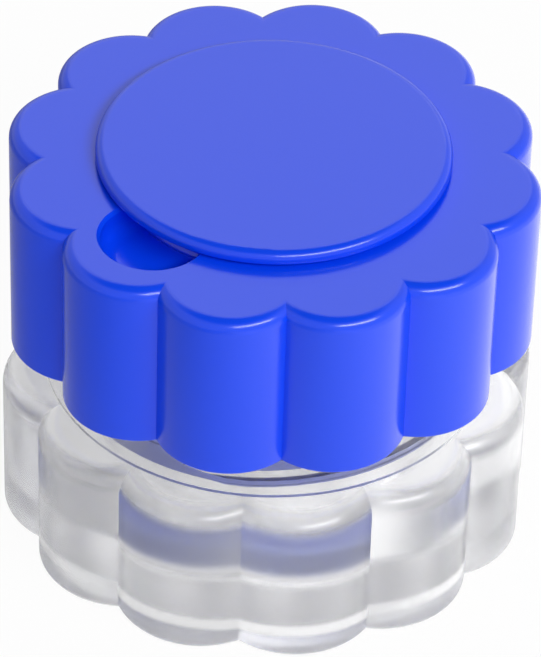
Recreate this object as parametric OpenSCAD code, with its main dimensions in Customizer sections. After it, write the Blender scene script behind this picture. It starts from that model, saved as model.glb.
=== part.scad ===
// Pill crusher: a clear cup with a screw cap that drives a hollow plunger down
// into the cup. The plunger's hollow is a pill store, closed by a pry-off disc.
// Millimetres. The origin is the middle of the foot, and +Z is the screw's axis.
// Shown closed, with the plunger just above the floor of the cup.
// Widths follow from the neck: outwards to the grip lobes, inwards to the disc's plug.

/* [Grip lobes] */
// Grip lobes around the cup and around the cap
lobe_count = 12; // [11:1:14]
// Direction of one of the cup's lobes, in degrees
base_turn = -109.7; // [-125:0.1:-95]
// Direction of the cap's lobe that carries the finger notch, in degrees
cap_turn = -131.1; // [-150:0.1:-110]

/* [Neck and thread] */
// Width of the neck at the root of its thread
neck_d = 38.6; // [37.6:0.1:44]
// Thickness of the neck's wall at the root of its thread
neck_wall = 2.5; // [2:0.1:3]
// Width of the low step around the foot of the neck
neck_foot_w = 1.2; // [0.6:0.1:1.6]
// Height of that step
neck_foot_h = 0.3; // [0.2:0.05:0.6]
// Height of the thread's ridge
thread_depth = 1.1; // [0.8:0.05:1.2]
// Rise of the thread in one turn
thread_lead = 6; // [5.4:0.2:7]
// Threads side by side
thread_starts = 2; // [1:1:2]
// Width of a ridge on its root
ridge_root_w = 1.4; // [1:0.05:1.5]
// Width of a ridge on its crest
ridge_crest_w = 0.7; // [0.4:0.05:0.9]
// Length of turn over which a ridge rises from a trace, in degrees
ridge_fade = 14; // [8:1:40]
// Bare neck between the step and the thread's foot
thread_foot = 0.1; // [0.1:0.05:1]
// Plain lead-in at the neck's rim and in the cap's mouth
thread_lead_in = 1; // [0.6:0.1:2]
// Direction that the thread's ridges pass at the shoulder, in degrees
thread_turn = 2.3; // [1:0.1:5]

/* [Cup body] */
// Width of the shoulder, from the root of the thread to the crests of the lobes
shoulder_w = 5.05; // [4.5:0.05:7]
// Radius of one lobe of the cup
base_lobe_r = 7.9; // [7.2:0.1:8.6]
// Height of the lobed body, up to its shoulder
base_h = 15.9; // [14:0.1:20]
// Rounding of the lobes' top edge
base_top_round = 2.1; // [0.5:0.1:2.4]
// Rounding of the lobes' bottom edge
base_foot_round = 0.7; // [0.3:0.1:1.5]
// Width of the ring that the cup stands on, in from the crests of the lobes
foot_ring_w = 5.35; // [4:0.05:9]
// Depth of the hollow inside that ring
foot_hollow_depth = 1.2; // [0.4:0.1:1.5]

/* [Crushing well] */
// Thickness of the well's floor, over the hollow under the foot
well_floor_t = 3; // [2.5:0.1:9]
// Rounding between the well's floor and its wall
well_corner_r = 1.5; // [0.5:0.1:1.8]

/* [Cap] */
// Wall between the cap's bore and the crests of its lobes
skirt_wall = 3.4; // [3:0.1:6]
// Radius of one lobe of the cap
cap_lobe_r = 6.7; // [6.4:0.1:7.4]
// Height of the cap
cap_h = 16.9; // [15:0.1:24]
// Open neck between the cap and the shoulder when closed
skirt_gap = 5.3; // [3:0.1:7]
// Thickness of the cap's top
cap_top_t = 3.2; // [3:0.1:4]
// Rounding of the cap's top edge
cap_top_round = 1.15; // [0.3:0.05:1.4]
// Rounding of the skirt's bottom edge
cap_foot_round = 0.3; // [0.1:0.1:0.5]
// Gap between the cap's bore and the thread's crest, all round
thread_clearance = 0.2; // [0.1:0.05:0.3]
// Overlap that the cap's ridges have with the neck's ridges
thread_hold = 0.8; // [0.5:0.05:0.9]
// Gap between the neck's rim and the cap's ceiling
rim_gap = 0.8; // [0.4:0.1:1.5]

/* [Finger notch] */
// Radius of the scooped notch
notch_r = 4.55; // [3.5:0.05:5.2]
// How far under the disc's edge the notch's middle lies
notch_inset = 0.15; // [0:0.05:0.6]
// Depth of the notch
notch_depth = 2.3; // [1.2:0.1:2.5]
// Rounding of the notch's floor
notch_floor_r = 1.4; // [0.6:0.1:1.6]
// Width of the broken edge around the notch's rim
notch_rim = 0.3; // [0.1:0.05:0.5]

/* [Plunger] */
// Gap all round between the plunger and the well
plunger_clearance = 0.3; // [0.2:0.05:0.5]
// Thickness of the plunger's wall
plunger_wall = 1.7; // [1.4:0.1:2]
// Thickness of the plunger's floor
plunger_floor_t = 2; // [1.5:0.1:3]
// Rounding around the plunger's foot
plunger_foot_r = 1.4; // [0.6:0.1:2]
// Rounding around the plunger's rim
plunger_rim_round = 0.3; // [0.1:0.05:0.5]
// Gap between the crushing ribs and the well's floor when closed
crush_gap = 0.3; // [0.2:0.05:0.5]
// Crushing ribs under the plunger
rib_count = 16; // [8:1:24]
// Height of the crushing ribs
rib_h = 0.6; // [0.3:0.05:1]
// Width of a crushing rib
rib_w = 0.9; // [0.6:0.05:1.2]
// Width of the bare middle that the ribs leave
rib_hub_d = 9; // [7:0.5:12]

/* [Swivel between plunger and cap] */
// Length of the cap's collar inside the plunger
collar_h = 3.6; // [3:0.1:5]
// Thickness of the collar
collar_wall = 1; // [0.8:0.1:1.2]
// Gap all round between the collar and the plunger
swivel_clearance = 0.05; // [0.03:0.01:0.1]
// Height of the snap bead around the collar
swivel_bead = 0.2; // [0.1:0.05:0.3]

/* [Store lid] */
// Overhang of the disc beyond the store's mouth, all round
lid_overhang = 2.05; // [1.6:0.05:2.8]
// Thickness of the disc
lid_t = 1.15; // [1:0.05:1.6]
// Rounding of the disc's top edge
lid_top_round = 0.8; // [0.4:0.05:0.85]
// Rounding of the disc's lower edge
lid_foot_round = 0.15; // [0.1:0.05:0.3]
// Shadow gap under the rim of the disc
lid_gap = 0.3; // [0.2:0.05:0.5]
// Width of the raised rim under the disc, outside its seat
lid_lip_w = 1; // [0.6:0.1:1.2]
// Length of the ring that plugs the store's mouth
plug_h = 3; // [2:0.1:4]
// Thickness of the plug ring
plug_wall = 1.2; // [0.9:0.1:1.6]
// Gap all round between the plug's bead and the store's mouth
plug_clearance = 0.04; // [0.02:0.01:0.08]
// Height of the bead around the plug
plug_bead = 0.2; // [0.1:0.05:0.3]

/* [Hidden] */
$fn = 96;

cut = 1; // how far a cutter runs past what it cuts
sink = 0.4; // how deep a ridge is rooted in its wall
steps_per_turn = 60; // straight pieces in a turn of a ridge
ridge_trace = 0.12; // share of its height that a ridge has at its tips
bead_r = 0.4; // half the height of a snap bead on its wall
bead_crest = bead_r / 3; // half the height of the flat on its crest
bead_inset = 2 * bead_r; // from the free end of a ring to the middle of its bead
clear_colour = [0.86, 0.89, 0.94, 0.55];
blue = [0.1, 0.2, 0.86];

// Heights, from the foot up
well_floor_z = foot_hollow_depth + well_floor_t;
skirt_z = base_h + skirt_gap;
cap_top_z = skirt_z + cap_h;
ceiling_z = cap_top_z - cap_top_t;
neck_top_z = ceiling_z - rim_gap;
plunger_foot_z = well_floor_z + crush_gap;
store_floor_z = plunger_foot_z + rib_h + plunger_floor_t;
collar_z = ceiling_z - collar_h;

// Radii, outwards from the neck
neck_r = neck_d / 2;
base_r = neck_r + shoulder_w;
thread_r = neck_r + thread_depth;
cap_bore_r = thread_r + thread_clearance;
cap_ridge_r = thread_r - thread_hold;
cap_r = cap_bore_r + skirt_wall;

// Radii, inwards from the neck
well_r = neck_r - neck_wall;
plunger_r = well_r - plunger_clearance;
store_r = plunger_r - plunger_wall;
collar_r = store_r - swivel_clearance;
mouth_r = collar_r - collar_wall;
plug_r = mouth_r - plug_clearance;
lid_r = mouth_r + lid_overhang;

thread_pitch = thread_lead / thread_starts;

// What rounding takes off a profile's lower corner, starting cut below it
module foot_corner(r)
  difference() {
    square([r + cut, r + cut]);
    translate([0, r + cut]) circle(r);
  }

// What rounding takes off a profile's upper corner, centred on the round
module top_corner(r)
  difference() {
    square(r + cut);
    circle(r);
  }

// A round block from z = 0 up, with its top and bottom edges rounded
module rounded_block(r, h, top_round, foot_round)
  rotate_extrude()
    difference() {
      square([r, h]);
      translate([r - top_round, h - top_round]) top_corner(top_round);
      translate([r - foot_round, -cut]) foot_corner(foot_round);
    }

// A point that lies r from the axis, in a direction, at a height
function around(r, angle, z = 0) = [r * cos(angle), r * sin(angle), z];

// A scalloped block: a ring of rounded lobes around a plain middle
module lobed_block(r, lobe_r, h, top_round, foot_round, turn) {
  ring_r = r - lobe_r;
  cylinder(r = ring_r, h = h);
  for (i = [0 : lobe_count - 1])
    translate(around(ring_r, turn + i * 360 / lobe_count))
      rounded_block(lobe_r, h, top_round, foot_round);
}

// How far a ridge has risen from its wall, from a trace at its tips to 1
function rise(angle, total) =
  min(1, ridge_trace + (1 - ridge_trace) * min(angle, total - angle) / ridge_fade);

// One helical ridge, rising counter-clockwise from the direction start. in_w and
// out_w are its widths at in_r and out_r. Its crest is outside, or inside.
module ridge(in_r, out_r, in_w, out_w, low_z, high_z, start, crest_outside) {
  total = 360 * (high_z - low_z) / thread_lead;
  steps = ceil(steps_per_turn * total / 360);
  depth = out_r - in_r - sink;
  points = [
    for (k = [0 : steps])
      let (
        angle = total * k / steps,
        z = low_z + thread_lead * angle / 360,
        lost = depth * (1 - rise(angle, total)),
        inner = crest_outside ? in_r : in_r + lost,
        outer = crest_outside ? out_r - lost : out_r
      )
      each [
        around(inner, start + angle, z - in_w / 2),
        around(outer, start + angle, z - out_w / 2),
        around(outer, start + angle, z + out_w / 2),
        around(inner, start + angle, z + in_w / 2)
      ]
  ];
  sides = [
    for (k = [0 : steps - 1], i = [0 : 3])
      let (a = 4 * k + i, b = 4 * k + (i + 1) % 4)
      each [[a, b, b + 4], [a, b + 4, a + 4]]
  ];
  end = 4 * steps;
  tips = [[2, 1, 0], [3, 2, 0], [end, end + 1, end + 2], [end, end + 2, end + 3]];
  polyhedron(points, concat(sides, tips), convexity = 8);
}

// Every start of a thread. All threads are in step from the shoulder up, and
// above lifts one out of step, so that its ridges lie between the other's.
module thread(in_r, out_r, in_w, out_w, low_z, high_z, crest_outside, above = 0)
  for (i = [0 : thread_starts - 1])
    ridge(
      in_r, out_r, in_w, out_w, low_z, high_z,
      thread_turn + 360 * (i / thread_starts + (low_z - base_h - above) / thread_lead),
      crest_outside
    );

// The clear cup: lobed body, threaded neck and crushing well
module base_cup()
  color(clear_colour)
    difference() {
      union() {
        lobed_block(base_r, base_lobe_r, base_h, base_top_round, base_foot_round, base_turn);
        translate([0, 0, base_h - cut]) cylinder(r = neck_r, h = neck_top_z - base_h + cut);
        translate([0, 0, base_h - cut]) cylinder(r = neck_r + neck_foot_w, h = neck_foot_h + cut);
        thread(
          neck_r - sink, thread_r, ridge_root_w, ridge_crest_w,
          base_h + neck_foot_h + thread_foot + ridge_root_w / 2,
          neck_top_z - thread_lead_in - ridge_root_w / 2, true
        );
      }
      translate([0, 0, well_floor_z])
        rounded_block(well_r, neck_top_z - well_floor_z + 2 * cut, cut, well_corner_r);
      translate([0, 0, -cut]) cylinder(r = base_r - foot_ring_w, h = foot_hollow_depth + cut);
    }

// The blue cap: lobed shell, thread, swivel collar, store mouth and finger notch
module cap_shell()
  color(blue)
    difference() {
      union() {
        difference() {
          translate([0, 0, skirt_z])
            lobed_block(cap_r, cap_lobe_r, cap_h, cap_top_round, cap_foot_round, cap_turn);
          translate([0, 0, skirt_z - cut]) cylinder(r = cap_bore_r, h = ceiling_z - skirt_z + cut);
        }
        translate([0, 0, collar_z]) collar();
        thread(
          cap_ridge_r, cap_bore_r + sink, ridge_crest_w, ridge_root_w,
          skirt_z + thread_lead_in + ridge_root_w / 2,
          neck_top_z - ridge_root_w / 2, false, thread_pitch / 2
        );
      }
      translate([0, 0, collar_z - cut]) cylinder(r = mouth_r, h = cap_top_z - collar_z + 2 * cut);
      translate(around(lid_r - notch_inset, cap_turn, cap_top_z)) notch();
    }

// The collar under the cap's top, with the bead that the plunger snaps over
module collar() {
  cylinder(r = collar_r, h = collar_h + cut);
  translate([0, 0, bead_inset]) bead(collar_r, swivel_bead);
}

// A low round-backed ring around a wall of radius r, standing out by h
module bead(r, h)
  rotate_extrude()
    polygon([
      [r - cut / 2, -bead_r], [r, -bead_r], [r + h, -bead_crest],
      [r + h, bead_crest], [r, bead_r], [r - cut / 2, bead_r]
    ]);

// The cutter for the finger notch, with its mouth at z = 0 and a broken rim
module notch()
  rotate_extrude()
    difference() {
      polygon([
        [0, -notch_depth], [notch_r, -notch_depth], [notch_r, -notch_rim],
        [notch_r + notch_rim + cut, cut], [0, cut]
      ]);
      translate([notch_r - notch_floor_r, -notch_depth - cut]) foot_corner(notch_floor_r);
    }

// The hollow plunger: its foot crushes, and its hollow is the pill store
module plunger()
  color(blue) {
    difference() {
      translate([0, 0, plunger_foot_z + rib_h])
        rounded_block(
          plunger_r, ceiling_z - plunger_foot_z - rib_h, plunger_rim_round, plunger_foot_r
        );
      translate([0, 0, store_floor_z])
        rounded_block(store_r, ceiling_z - store_floor_z + 2 * cut, cut, plunger_foot_r);
      translate([0, 0, collar_z + bead_inset]) bead(store_r, swivel_bead);
    }
    crushing_ribs();
  }

// Radial ribs under the plunger's foot
module crushing_ribs()
  for (i = [0 : rib_count - 1])
    rotate(i * 360 / rib_count)
      translate([rib_hub_d / 2, -rib_w / 2, plunger_foot_z])
        cube([plunger_r - plunger_foot_r - rib_hub_d / 2, rib_w, rib_h + plunger_floor_t / 2]);

// The blue disc: soft top edge, seat, and the ring that plugs the mouth
module store_lid()
  color(blue)
    translate([0, 0, cap_top_z])
      difference() {
        union() {
          translate([0, 0, lid_gap]) rounded_block(lid_r, lid_t, lid_top_round, lid_foot_round);
          cylinder(r = lid_r - lid_lip_w, h = lid_gap + lid_t / 2);
          translate([0, 0, -plug_h]) cylinder(r = plug_r - plug_bead, h = plug_h + lid_gap);
          translate([0, 0, bead_inset - plug_h]) bead(plug_r - plug_bead, plug_bead);
        }
        translate([0, 0, -plug_h - cut])
          cylinder(r = plug_r - plug_bead - plug_wall, h = plug_h + cut);
      }

base_cup();
cap_shell();
plunger();
store_lid();
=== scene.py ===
"""Pill crusher: finishes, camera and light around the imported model. Metres throughout."""
import math

import bpy
from mathutils import Matrix, Vector

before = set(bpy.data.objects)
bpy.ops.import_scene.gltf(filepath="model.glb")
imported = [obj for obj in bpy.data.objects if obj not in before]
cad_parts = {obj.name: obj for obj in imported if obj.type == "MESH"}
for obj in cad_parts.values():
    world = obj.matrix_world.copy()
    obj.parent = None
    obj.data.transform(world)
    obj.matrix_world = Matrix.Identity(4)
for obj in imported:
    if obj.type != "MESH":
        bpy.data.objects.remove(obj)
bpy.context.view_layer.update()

MM = 0.001

# ---------------------------------------------------------------- camera
# Solved from the outlines of the cap, the cup, the disc and the foot.
IMAGE_H = 657
CAMERA_TARGET = Vector((0, 0, 20 * MM))
CAMERA_ELEVATION = math.radians(39.6)
CAMERA_DISTANCE = 422.4 * MM
CAMERA_ROLL = math.radians(1.763)
FOCAL_PX = 4649
SENSOR_MM = 36
CLIP_NEAR, CLIP_FAR = 0.01, 10
TARGET_LEFT_PX = 1.3  # how far left of the image's middle the target shows
TARGET_ABOVE_PX = 15.3  # and how far above it


def make_camera():
    """The photograph's camera: in front of the object, looking down, and rolled a little."""
    data = bpy.data.cameras.new("camera")
    camera = bpy.data.objects.new("camera", data)
    bpy.context.scene.collection.objects.link(camera)
    back = Vector((0, -math.cos(CAMERA_ELEVATION), math.sin(CAMERA_ELEVATION)))
    facing = (-back).to_track_quat("-Z", "Y").to_matrix().to_4x4()
    camera.matrix_world = (
        Matrix.Translation(CAMERA_TARGET + back * CAMERA_DISTANCE)
        @ facing
        @ Matrix.Rotation(CAMERA_ROLL, 4, "Z")
    )
    data.sensor_width = SENSOR_MM
    data.lens = FOCAL_PX * SENSOR_MM / IMAGE_H
    data.shift_x = TARGET_LEFT_PX / IMAGE_H
    data.shift_y = -TARGET_ABOVE_PX / IMAGE_H
    data.clip_start, data.clip_end = CLIP_NEAR, CLIP_FAR
    bpy.context.scene.camera = camera


# ---------------------------------------------------------------- materials
def linear(hex_colour):
    """An sRGB hex colour as linear RGBA, opaque."""
    channels = [int(hex_colour[i:i + 2], 16) / 255 for i in (0, 2, 4)]
    return [c / 12.92 if c <= 0.04045 else ((c + 0.055) / 1.055) ** 2.4 for c in channels] + [1.0]


WHITE = linear("ffffff")


def new_material(name):
    material = bpy.data.materials.new(name)
    material.use_nodes = True
    material.node_tree.nodes.clear()
    return material, material.node_tree


def add(tree, kind, settings=None, **inputs):
    """Adds a node. settings are its properties; inputs are values, or sockets to link."""
    node = tree.nodes.new(kind)
    for key, value in (settings or {}).items():
        setattr(node, key, value)
    for key, value in inputs.items():
        socket = node.inputs[key.replace("_", " ")]
        if isinstance(value, bpy.types.NodeSocket):
            tree.links.new(value, socket)
        else:
            socket.default_value = value
    return node


def clear_polystyrene():
    """Clear polystyrene, injection moulded: rough enough to soften what shows through the thick
    lobes, with bright edges and a faint waviness, as where a wall sank as it cooled."""
    material, tree = new_material("clear_polystyrene_moulded")
    place = add(tree, "ShaderNodeTexCoord").outputs["Object"]
    sink = add(tree, "ShaderNodeTexNoise", Vector=place, Scale=1 / (7 * MM), Detail=2.0)
    bump = add(tree, "ShaderNodeBump", Height=sink.outputs["Fac"], Strength=0.25, Distance=0.15 * MM)
    shader = add(
        tree, "ShaderNodeBsdfPrincipled", Normal=bump.outputs["Normal"],
        Base_Color=linear("fefeff"), Roughness=0.24, IOR=1.59, Transmission_Weight=0.96,
    )
    add(tree, "ShaderNodeOutputMaterial", Surface=shader.outputs["BSDF"])
    return material


def blue_polypropylene():
    """Opaque royal blue polypropylene, moulded in a fine-blasted tool: soft, broad highlights over
    a full blue. The grain is drawn coarser than blasting leaves, so that it can show."""
    material, tree = new_material("blue_polypropylene_moulded")
    place = add(tree, "ShaderNodeTexCoord").outputs["Object"]
    blast = add(tree, "ShaderNodeTexNoise", Vector=place, Scale=1 / (0.25 * MM), Detail=3.0)
    bump = add(tree, "ShaderNodeBump", Height=blast.outputs["Fac"], Strength=0.12, Distance=0.02 * MM)
    shader = add(
        tree, "ShaderNodeBsdfPrincipled", Normal=bump.outputs["Normal"],
        Base_Color=linear("0446f4"), Roughness=0.2, IOR=1.49,
    )
    add(tree, "ShaderNodeOutputMaterial", Surface=shader.outputs["BSDF"])
    return material


def tinted_polypropylene():
    """Translucent blue polypropylene, moulded thin: the plunger's wall lets the white beyond it
    through, so it shows in the cup's lobes as a pale lavender and not as a full blue."""
    material, tree = new_material("tinted_polypropylene_moulded")
    place = add(tree, "ShaderNodeTexCoord").outputs["Object"]
    flow = add(tree, "ShaderNodeTexNoise", Vector=place, Scale=1 / (4 * MM), Detail=2.0)
    bump = add(tree, "ShaderNodeBump", Height=flow.outputs["Fac"], Strength=0.2, Distance=0.1 * MM)
    shader = add(
        tree, "ShaderNodeBsdfPrincipled", Normal=bump.outputs["Normal"],
        Base_Color=linear("b0beff"), Roughness=0.3, IOR=1.49, Transmission_Weight=0.9,
    )
    add(tree, "ShaderNodeOutputMaterial", Surface=shader.outputs["BSDF"])
    return material


def any_ray(tree, *kinds):
    """1 for a ray of any of the named kinds, else 0."""
    path = add(tree, "ShaderNodeLightPath")
    found = path.outputs[kinds[0]]
    for kind in kinds[1:]:
        either = add(tree, "ShaderNodeMath", {"operation": "MAXIMUM"})
        tree.links.new(found, either.inputs[0])
        tree.links.new(path.outputs[kind], either.inputs[1])
        found = either.outputs[0]
    return found


STRAIGHT, MIRRORED, THROUGH = "Is Camera Ray", "Is Glossy Ray", "Is Transmission Ray"
FLOOR_GLOW = 0.95  # how much of the floor's white doesn't depend on the light falling on it
PAINTED_REFLECTION_HALF = 50 * MM  # the paper's painted reflection, as it shines in the grip lobes, grows brighter over this span
# painted reflection: how brightly the paper glows in reflections at its left and at its right
PAINTED_REFLECTION_LEFT, PAINTED_REFLECTION_RIGHT = 0.35, 1.5


def white_sweep():
    """Matt white paper: plain white to the eye, and it keeps the object's soft shadow. As a
    reflection it glows with a painted light that is dimmer on the left than on the right, standing in
    for paper lit from one side."""
    material, tree = new_material("white_paper_sweep")
    paper = add(tree, "ShaderNodeBsdfDiffuse", Color=WHITE)
    place = add(tree, "ShaderNodeTexCoord").outputs["Object"]
    across = add(tree, "ShaderNodeSeparateXYZ", Vector=place).outputs["X"]
    # painted reflection: the glow seen in reflections grows from left to right, as if lit from the
    # right
    painted_gradient = add(
        tree, "ShaderNodeMapRange", Value=across, From_Min=-PAINTED_REFLECTION_HALF, From_Max=PAINTED_REFLECTION_HALF,
        To_Min=PAINTED_REFLECTION_LEFT, To_Max=PAINTED_REFLECTION_RIGHT,
    )
    plain = add(tree, "ShaderNodeEmission", Color=WHITE, Strength=1.0)
    # painted reflection: the paper glows for reflected rays with this graded strength, not from a
    # lamp
    painted_reflection = add(tree, "ShaderNodeEmission", Color=WHITE, Strength=painted_gradient.outputs[0])
    glow = add(tree, "ShaderNodeMixShader", Fac=any_ray(tree, MIRRORED))
    tree.links.new(plain.outputs[0], glow.inputs[1])
    tree.links.new(painted_reflection.outputs[0], glow.inputs[2])
    share = add(tree, "ShaderNodeMath", {"operation": "MULTIPLY"})
    tree.links.new(any_ray(tree, STRAIGHT, MIRRORED, THROUGH), share.inputs[0])
    share.inputs[1].default_value = FLOOR_GLOW
    mix = add(tree, "ShaderNodeMixShader", Fac=share.outputs[0])
    tree.links.new(paper.outputs[0], mix.inputs[1])
    tree.links.new(glow.outputs[0], mix.inputs[2])
    add(tree, "ShaderNodeOutputMaterial", Surface=mix.outputs[0])
    return material


# ---------------------------------------------------------------- stage and light
FLOOR_HALF = 1.5
FOOT_GAP = 0.05 * MM  # a hairline of air over the paper, so that the clear foot mirrors inside
ROOM_LIGHT_LEFT, ROOM_LIGHT_RIGHT = 0.22, 0.5  # how strongly the walls light the object
WALLS_END = math.sin(math.radians(48))  # the walls are white up to this slope
OPENING_STARTS = math.sin(math.radians(66))  # and from this slope up the room is open
OPENING_LIGHT = 0.03
WALL_CROSSINGS = 32  # how often light may bend or bounce in the clear walls
LAMP_DISTANCE = 0.6


def make_floor():
    """A large square of white paper, a hairline under the object."""
    mesh = bpy.data.meshes.new("floor")
    signs = ((-1, -1), (1, -1), (1, 1), (-1, 1))
    corners = [(x * FLOOR_HALF, y * FLOOR_HALF, -FOOT_GAP) for x, y in signs]
    mesh.from_pydata(corners, [], [(0, 1, 2, 3)])
    floor = bpy.data.objects.new("floor", mesh)
    bpy.context.scene.collection.objects.link(floor)
    mesh.materials.append(white_sweep())


def make_room():
    """A soft white room: dim as a light and dimmer on the left, white where it is seen, straight
    or through the cup, and as a reflection open to the dark overhead, which draws the deep band
    along the cap's upper edge."""
    world = bpy.data.worlds.new("room")
    bpy.context.scene.world = world
    world.use_nodes = True
    tree = world.node_tree
    tree.nodes.clear()
    way = add(tree, "ShaderNodeTexCoord").outputs["Generated"]
    split = add(tree, "ShaderNodeSeparateXYZ", Vector=way)
    side = add(
        tree, "ShaderNodeMapRange", Value=split.outputs["X"], From_Min=-1.0, From_Max=1.0,
        To_Min=ROOM_LIGHT_LEFT, To_Max=ROOM_LIGHT_RIGHT,
    )
    walls = add(
        tree, "ShaderNodeMapRange", Value=split.outputs["Z"],
        From_Min=WALLS_END, From_Max=OPENING_STARTS, To_Min=1.0, To_Max=OPENING_LIGHT,
    )
    white = add(tree, "ShaderNodeMath", {"operation": "MAXIMUM"})
    tree.links.new(walls.outputs[0], white.inputs[0])
    tree.links.new(any_ray(tree, STRAIGHT, THROUGH), white.inputs[1])
    light = add(tree, "ShaderNodeBackground", Color=WHITE, Strength=side.outputs[0])
    seen = add(tree, "ShaderNodeBackground", Color=WHITE, Strength=white.outputs[0])
    mix = add(tree, "ShaderNodeMixShader", Fac=any_ray(tree, STRAIGHT, MIRRORED, THROUGH))
    tree.links.new(light.outputs[0], mix.inputs[1])
    tree.links.new(seen.outputs[0], mix.inputs[2])
    add(tree, "ShaderNodeOutputWorld", Surface=mix.outputs[0])


def make_softbox(name, azimuth, elevation, width, height, power):
    """A flat lamp aimed at the object: degrees, metres and watts. Azimuth is counted from +X
    towards +Y."""
    data = bpy.data.lights.new(name, "AREA")
    data.shape = "RECTANGLE"
    data.size, data.size_y = width, height
    data.energy = power
    lamp = bpy.data.objects.new(name, data)
    bpy.context.scene.collection.objects.link(lamp)
    a, e = math.radians(azimuth), math.radians(elevation)
    out = Vector((math.cos(a) * math.cos(e), math.sin(a) * math.cos(e), math.sin(e)))
    lamp.location = CAMERA_TARGET + out * LAMP_DISTANCE
    lamp.rotation_mode = "QUATERNION"
    lamp.rotation_quaternion = (-out).to_track_quat("-Z", "Y")


def dress(node, material):
    """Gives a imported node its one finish."""
    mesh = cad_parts[node].data
    mesh.materials.clear()
    mesh.materials.append(material)


make_camera()
make_floor()
make_room()
make_softbox("softbox_front", azimuth=-55, elevation=42, width=0.5, height=0.1, power=2.2)
make_softbox("softbox_back", azimuth=90, elevation=40, width=0.4, height=0.4, power=0.35)

blue_plastic = blue_polypropylene()
dress("base_cup", clear_polystyrene())
dress("plunger", tinted_polypropylene())
dress("cap_shell", blue_plastic)
dress("store_lid", blue_plastic)

bpy.context.scene.view_settings.view_transform = "Standard"

cycles = bpy.context.scene.cycles
cycles.max_bounces = cycles.transmission_bounces = cycles.glossy_bounces = WALL_CROSSINGS
